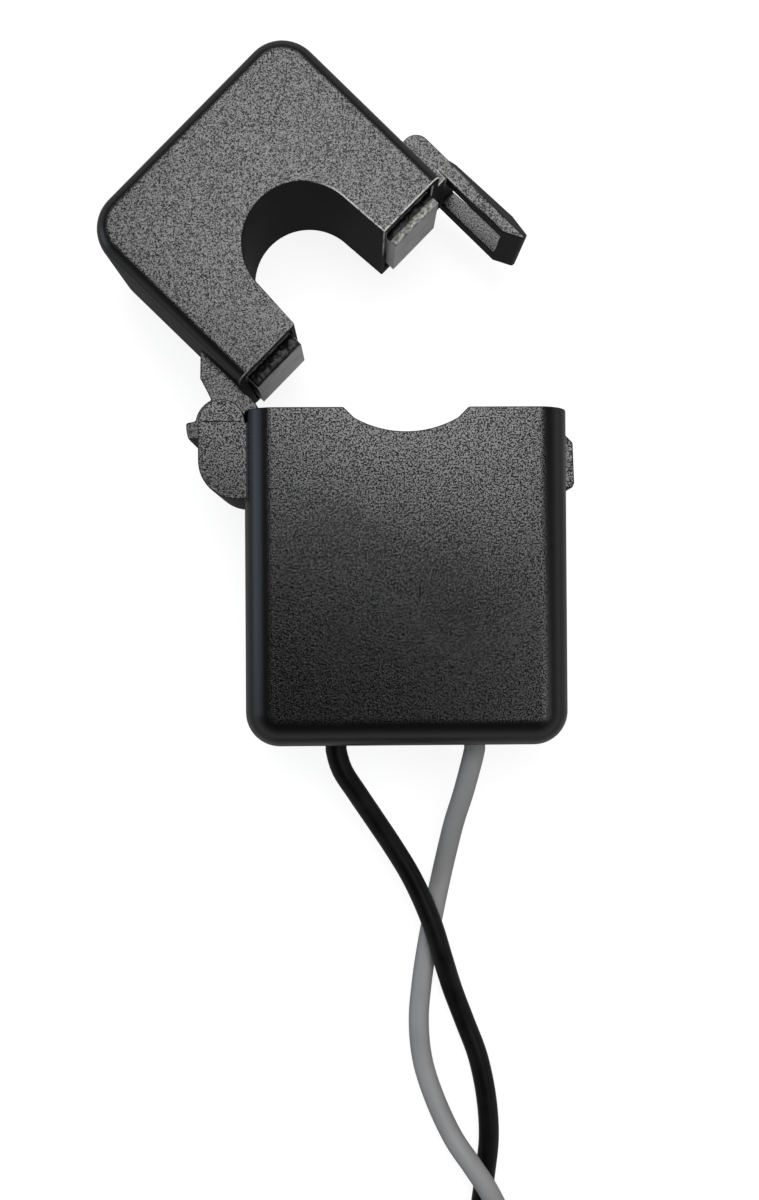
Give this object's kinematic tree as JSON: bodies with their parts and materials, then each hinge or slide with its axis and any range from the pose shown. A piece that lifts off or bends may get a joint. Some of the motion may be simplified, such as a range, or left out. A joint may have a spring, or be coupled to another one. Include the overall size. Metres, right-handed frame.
{
  "type": "split-core current transformer",
  "caption": "Small split-core current transformer: hinged moulded case, cut core round a conductor window, snap loop latch and two leads put away in a tied coil.",
  "frame": {"origin": "middle of the lower case's flat back, which the part lies on", "axes": "+Z out of the back towards the front face, along the conductor and the hinge; +Y from the lower half to the upper half; +X from the hinge side to the latch side"},
  "size_m": [0.0424, 0.1378, 0.0125],
  "materials": {
    "case_plastic": "fine spark-eroded texture on the faces, smoother fillets",
    "cover_plastic": "smooth moulded",
    "pin_steel": "bright drawn",
    "core_steel": "ground cut faces, grey satin",
    "bobbin_plastic": "natural nylon",
    "magnet_wire": "enamelled copper",
    "tape": "polyester tape",
    "board": "solder mask",
    "resistor_body": "lacquered",
    "solder": "bright solder",
    "resin": "cured resin",
    "spring_steel": "rolled strip",
    "adhesive": "rough dried adhesive",
    "black_insulation": "soft PVC",
    "white_insulation": "soft PVC",
    "tie_strip": "paper-backed twist tie",
    "tinned_copper": "dipped tin"
  },
  "bodies": {
    "lower_half": {"lower_case": "case_plastic", "lower_cover": "cover_plastic", "hinge_pin": "pin_steel", "lower_core": "core_steel", "bobbin_front": "bobbin_plastic", "bobbin_back": "bobbin_plastic", "winding": "magnet_wire", "winding_tape": "tape", "coil_tails": "magnet_wire", "terminal_board": "board", "burden_resistor": "resistor_body", "solder_joints": "solder", "lead_seals": "resin", "lead_black": "black_insulation", "lead_white": "white_insulation", "lead_coil": "black_insulation", "lead_tie": "tie_strip", "black_tip": "tinned_copper", "white_tip": "tinned_copper"},
    "upper_half": {"upper_case": "case_plastic", "upper_core": "core_steel", "core_spring": "spring_steel", "pole_glue": "adhesive"}
  },
  "joints": [
    {"name": "case_hinge", "type": "hinge", "parent": "lower_half", "child": "upper_half", "pos_m": [-0.0144, 0.0122, 0.00625], "axis": [0, 0, 1], "range_deg": [-45.5, 29.5]}
  ]
}
